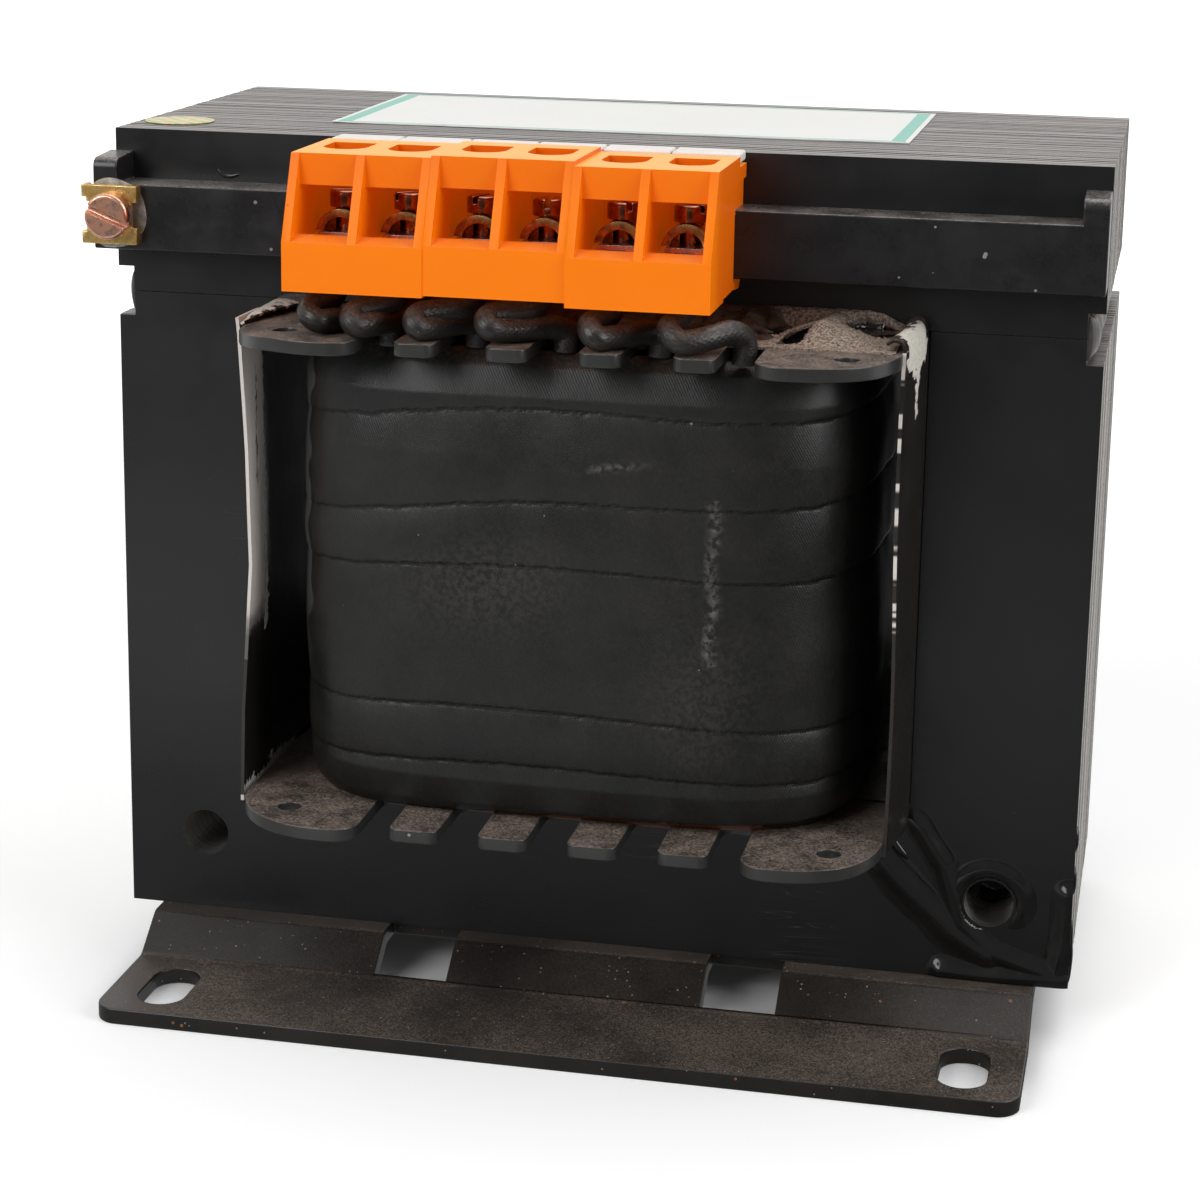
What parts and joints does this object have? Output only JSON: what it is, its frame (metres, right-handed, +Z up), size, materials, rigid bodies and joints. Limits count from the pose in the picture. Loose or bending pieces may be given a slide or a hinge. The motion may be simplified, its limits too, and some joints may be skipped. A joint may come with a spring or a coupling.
{
  "type": "laminated chassis transformer",
  "caption": "Welded E-I core transformer on two joggled feet, with a taped coil, a terminal rail, clip-on screw terminal blocks and an earth screw.",
  "frame": {"origin": "middle of the four foot slots, on the standing plane; the core is centred on it", "axes": "+Z up; X runs along the rail; the terminals face -Y"},
  "size_m": [0.1216, 0.106, 0.1063],
  "materials": {
    "core": "black varnished sheet stack",
    "weld": "varnished weld bead",
    "foot": "black varnish, dusty",
    "bobbin": "moulded polyamide, dusty",
    "winding": "enamelled copper wire",
    "insulation": "pressboard",
    "wrap": "black varnished cloth tape",
    "liner": "varnished pressboard sheet",
    "rail": "black satin paint",
    "clamp_plate": "yellow passivated steel",
    "earth_screw": "copper plated steel",
    "housing": "orange moulded polyamide",
    "contact": "tinned copper alloy",
    "wire_clamp": "lacquered steel",
    "terminal_screw": "lacquered steel",
    "tag": "white polyamide",
    "sleeve": "black braided sleeving",
    "label": "white film",
    "sticker": "printed film"
  },
  "bodies": {
    "root": {"e_stack": "core", "i_stack": "core", "seam_welds": "weld", "front_foot": "foot", "rear_foot": "foot", "bobbin": "bobbin", "primary_winding": "winding", "winding_insulation": "insulation", "secondary_winding": "winding", "outer_wrap": "wrap", "slot_liner_left": "liner", "slot_liner_right": "liner", "terminal_rail": "rail", "earth_clamp": "clamp_plate", "earth_screw": "earth_screw", "terminal_block_left": "housing", "terminal_block_middle": "housing", "terminal_block_right": "housing", "contact_strips": "contact", "wire_clamps": "wire_clamp", "terminal_screws": "terminal_screw", "marker_tags": "tag", "lead_1": "sleeve", "lead_2": "sleeve", "lead_3": "sleeve", "lead_4": "sleeve", "lead_5": "sleeve", "lead_6": "sleeve", "rating_label": "label", "earth_sticker": "sticker"}
  },
  "joints": []
}
